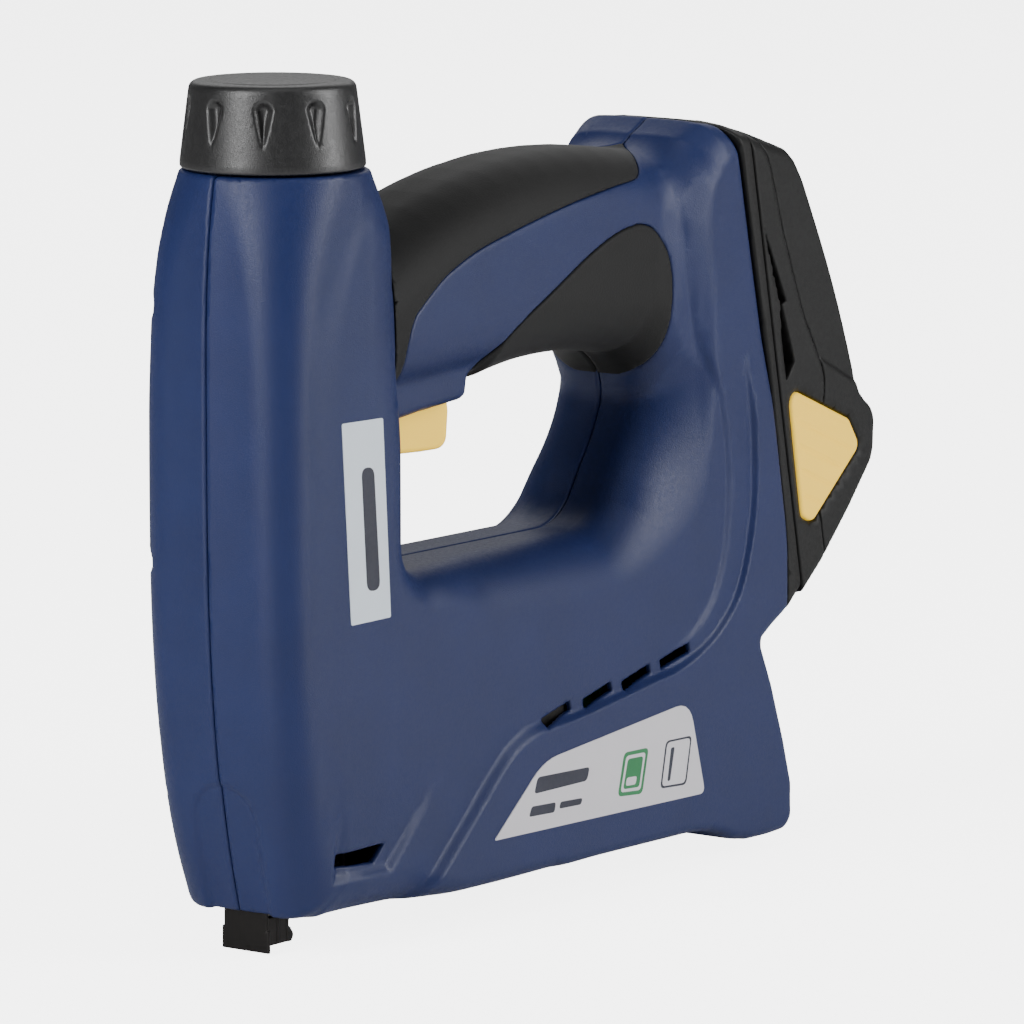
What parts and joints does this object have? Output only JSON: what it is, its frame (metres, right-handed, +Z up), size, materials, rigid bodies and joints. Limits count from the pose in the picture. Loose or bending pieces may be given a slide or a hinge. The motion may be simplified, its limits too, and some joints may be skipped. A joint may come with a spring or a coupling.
{
  "type": "electric stapler",
  "caption": "Cordless electric stapler with spring column, closed handle loop, sliding magazine, power knob and slide-on battery pack.",
  "frame": {"origin": "centre of the base box on the work surface, which the contact foot and the heel stand on", "axes": "+Z up, along the drive column; -X towards the nose column, +X towards the battery pack; -Y is the left side"},
  "size_m": [0.253, 0.0536, 0.216],
  "materials": {
    "shell_blue": "fine spark-eroded texture",
    "grip_black": "matte soft grip",
    "knob_black": "satin",
    "pack_black": "fine texture",
    "nose_black": "black oxide",
    "accent_yellow": "satin",
    "label_grey": "printed film",
    "badge_white": "printed film",
    "steel": "bright",
    "zinc": "zinc plated",
    "contact_brass": "bright",
    "rubber": "matte",
    "button_red": "satin",
    "board_green": "solder mask",
    "cell_wrap": "shrink wrap"
  },
  "bodies": {
    "body": {"housing_left": "shell_blue", "housing_right": "shell_blue", "housing_screws": "steel", "grip_top": "grip_black", "grip_lower_left": "grip_black", "grip_lower_right": "grip_black", "label_left": "label_grey", "label_right": "label_grey", "badge_left": "badge_white", "dock_frame": "pack_black", "dock_terminals": "contact_brass", "spindle_bush": "zinc", "main_spring": "steel", "spring_tube": "steel", "bumper": "rubber", "drive_frame": "zinc", "lifter_axle": "steel", "idler_axle": "steel", "motor": "steel", "motor_plate": "zinc", "trigger_pin": "steel", "switch_body": "knob_black", "trigger_spring": "steel", "control_board": "board_green", "nose_guide": "steel", "magazine_channel": "zinc"},
    "knob": {"power_knob": "knob_black", "knob_spindle": "steel"},
    "seat": {"spring_seat": "contact_brass"},
    "striker": {"plunger": "steel", "driver_blade": "steel", "blade_pin": "steel"},
    "lifter": {"lifter_gear": "steel"},
    "idler": {"idler_gear": "steel"},
    "rotor": {"motor_pinion": "contact_brass"},
    "trigger_lever": {"trigger": "accent_yellow"},
    "switch_pin": {"switch_button": "button_red"},
    "foot": {"contact_foot": "nose_black"},
    "rail": {"magazine_rail": "steel", "rail_end": "pack_black", "staples": "steel"},
    "latch": {"magazine_latch": "pack_black"},
    "follower": {"pusher": "steel"},
    "pack": {"pack_case": "pack_black", "pack_cover": "pack_black", "pack_cells": "cell_wrap", "pack_contacts": "contact_brass", "pack_screws": "steel"},
    "button_left": {"release_button_left": "accent_yellow"},
    "button_right": {"release_button_right": "accent_yellow"}
  },
  "joints": [
    {"name": "knob_turn", "type": "hinge", "parent": "body", "child": "knob", "pos_m": [-0.09895, 0, 0.205], "axis": [0, 0, -1], "range_deg": [0, 270]},
    {"name": "seat_slide", "type": "slide", "parent": "body", "child": "seat", "axis": [0, 0, -1], "range_m": [0, 0.0091]},
    {"name": "lifter_turn", "type": "hinge", "parent": "body", "child": "lifter", "pos_m": [-0.07195, 0, 0.06], "axis": [0, 1, 0], "range_deg": [0, 103.5]},
    {"name": "striker_slide", "type": "slide", "parent": "body", "child": "striker", "axis": [0, 0, 1], "range_m": [0, 0.0254], "stiffness_N_per_m": 300, "springref_m": -0.03, "deforming": ["main_spring"]},
    {"name": "idler_turn", "type": "hinge", "parent": "body", "child": "idler", "pos_m": [-0.04082, 0, 0.06272], "axis": [0, 1, 0], "range_deg": [-415, 0]},
    {"name": "rotor_turn", "type": "hinge", "parent": "body", "child": "rotor", "pos_m": [-0.01718, 0, 0.05856], "axis": [0, 1, 0], "range_deg": [0, 2075]},
    {"name": "trigger_pull", "type": "hinge", "parent": "body", "child": "trigger_lever", "pos_m": [-0.06595, 0, 0.134], "axis": [0, -1, 0], "range_deg": [0, 8], "stiffness_Nm_per_rad": 0.06, "springref_deg": -20.05, "deforming": ["trigger_spring"]},
    {"name": "switch_slide", "type": "slide", "parent": "body", "child": "switch_pin", "axis": [0, 0, 1], "range_m": [0, 0.0028]},
    {"name": "foot_slide", "type": "slide", "parent": "body", "child": "foot", "axis": [0, 0, 1], "range_m": [0, 0.003], "stiffness_N_per_m": 400, "springref_m": -0.001},
    {"name": "rail_slide", "type": "slide", "parent": "body", "child": "rail", "axis": [1, 0, 0], "range_m": [0, 0.09]},
    {"name": "latch_press", "type": "slide", "parent": "rail", "child": "latch", "axis": [-1, 0, 0], "range_m": [0, 0.002], "stiffness_N_per_m": 200, "springref_m": -0.003},
    {"name": "pusher_slide", "type": "slide", "parent": "rail", "child": "follower", "axis": [1, 0, 0], "range_m": [0, 0.085], "stiffness_N_per_m": 25, "springref_m": -0.08},
    {"name": "pack_slide", "type": "slide", "parent": "body", "child": "pack", "axis": [-0.1958, 0, 0.9806], "range_m": [0, 0.118]},
    {"name": "button_left_press", "type": "slide", "parent": "pack", "child": "button_left", "axis": [0, 1, 0], "range_m": [0, 0.002], "stiffness_N_per_m": 500, "springref_m": -0.002},
    {"name": "button_right_press", "type": "slide", "parent": "pack", "child": "button_right", "axis": [0, -1, 0], "range_m": [0, 0.002], "stiffness_N_per_m": 500, "springref_m": -0.002}
  ],
  "couplings": [
    {"joint": "seat_slide", "follows": "knob_turn", "m_per_rad": 0.0019099},
    {"joint": "striker_slide", "follows": "lifter_turn", "m_per_rad": 0.014},
    {"joint": "idler_turn", "follows": "lifter_turn", "ratio": -4},
    {"joint": "rotor_turn", "follows": "lifter_turn", "ratio": 20},
    {"joint": "switch_slide", "follows": "trigger_pull", "m_per_rad": 0.0195}
  ]
}
